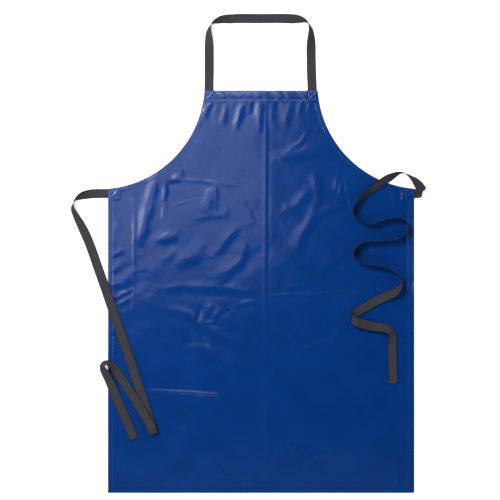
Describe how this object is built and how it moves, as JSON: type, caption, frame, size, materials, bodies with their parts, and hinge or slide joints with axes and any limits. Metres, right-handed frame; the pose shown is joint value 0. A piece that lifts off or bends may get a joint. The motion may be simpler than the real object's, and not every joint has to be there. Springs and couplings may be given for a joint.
{
  "type": "welding apron",
  "caption": "Bib apron of glossy coated cloth with curved armholes, a webbing neck loop and long webbing waist ties, lying on its back.",
  "frame": {"origin": "under the middle of the panel, on the surface that the apron lies on", "axes": "+X to the right seen from the front, +Y from the bottom edge to the bib top, +Z out of the front face"},
  "size_m": [0.961, 1.2978, 0.0306],
  "materials": {
    "coated_cloth": "smooth glossy coating on woven cloth",
    "webbing": "matt ribbed webbing",
    "thread": "twisted sewing thread"
  },
  "bodies": {
    "apron": {"panel": "coated_cloth", "top_hem": "coated_cloth", "left_side_hem": "coated_cloth", "right_side_hem": "coated_cloth", "bottom_hem": "coated_cloth", "left_armhole_hem": "coated_cloth", "right_armhole_hem": "coated_cloth", "neck_strap_left_end": "webbing", "neck_strap_right_end": "webbing", "left_tie_sewn_end": "webbing", "right_tie_sewn_end": "webbing", "top_hem_stitching": "thread", "left_side_stitching": "thread", "right_side_stitching": "thread", "bottom_stitching": "thread", "left_armhole_stitching": "thread", "right_armhole_stitching": "thread", "neck_left_cross_stitch": "thread", "neck_right_cross_stitch": "thread", "left_tie_cross_stitch": "thread", "right_tie_cross_stitch": "thread"},
    "neck_loop": {"neck_strap": "webbing"},
    "left_tie": {"left_tie_strap": "webbing"},
    "right_tie": {"right_tie_strap": "webbing"}
  },
  "joints": [
    {"name": "neck_strap_fold", "type": "hinge", "parent": "apron", "child": "neck_loop", "pos_m": [0, 0.546, 0.0032], "axis": [1, 0, 0], "range_deg": [0, 165]},
    {"name": "left_tie_swing", "type": "hinge", "parent": "apron", "child": "left_tie", "pos_m": [-0.504, 0.246, 0], "axis": [0, 0, 1], "range_deg": [-40, 40]},
    {"name": "right_tie_swing", "type": "hinge", "parent": "apron", "child": "right_tie", "pos_m": [0.247, 0.217, 0], "axis": [0, 0, 1], "range_deg": [-40, 20]}
  ]
}
